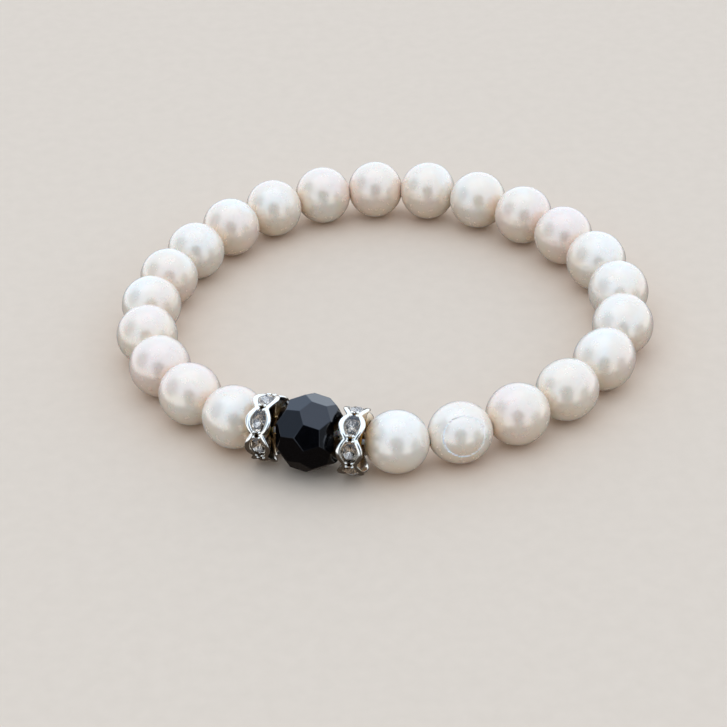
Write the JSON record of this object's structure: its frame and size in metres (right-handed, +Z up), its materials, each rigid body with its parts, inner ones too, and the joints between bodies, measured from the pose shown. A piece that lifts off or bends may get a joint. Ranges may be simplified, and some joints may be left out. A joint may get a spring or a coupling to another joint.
{
  "type": "pearl bracelet",
  "caption": "Stretch bracelet of round white pearls with a faceted black bead between two crystal rondelles, lying flat as a closed loop.",
  "frame": {"origin": "the middle of the loop's underside, on the surface that the bracelet lies on", "axes": "+Z up, through the hole that the wrist goes in; -Y towards the front, where the black bead lies; +X to the right"},
  "size_m": [0.0698, 0.0704, 0.0096],
  "materials": {
    "nacre": "satin lustre, white freshwater nacre with a warm body colour",
    "black_glass": "opaque black glass, polished facets",
    "silver_plate": "bright silver plating on brass",
    "crystal": "foiled cut crystal",
    "elastic": "clear stretch cord"
  },
  "bodies": {
    "root": {"black_bead": "black_glass", "rondelle_left": "silver_plate", "rondelle_right": "silver_plate", "crystal_left_1": "crystal", "crystal_left_2": "crystal", "crystal_left_3": "crystal", "crystal_left_4": "crystal", "crystal_left_5": "crystal", "crystal_left_6": "crystal", "crystal_left_7": "crystal", "crystal_right_1": "crystal", "crystal_right_2": "crystal", "crystal_right_3": "crystal", "crystal_right_4": "crystal", "crystal_right_5": "crystal", "crystal_right_6": "crystal", "crystal_right_7": "crystal", "pearl_01": "nacre", "pearl_02": "nacre", "pearl_03": "nacre", "pearl_04": "nacre", "pearl_05": "nacre", "pearl_06": "nacre", "pearl_07": "nacre", "pearl_08": "nacre", "pearl_09": "nacre", "pearl_10": "nacre", "pearl_11": "nacre", "pearl_12": "nacre", "pearl_13": "nacre", "pearl_14": "nacre", "pearl_15": "nacre", "pearl_16": "nacre", "pearl_17": "nacre", "pearl_18": "nacre", "pearl_19": "nacre", "pearl_20": "nacre", "pearl_21": "nacre", "pearl_22": "nacre", "pearl_23": "nacre", "elastic_cord": "elastic"}
  },
  "joints": []
}
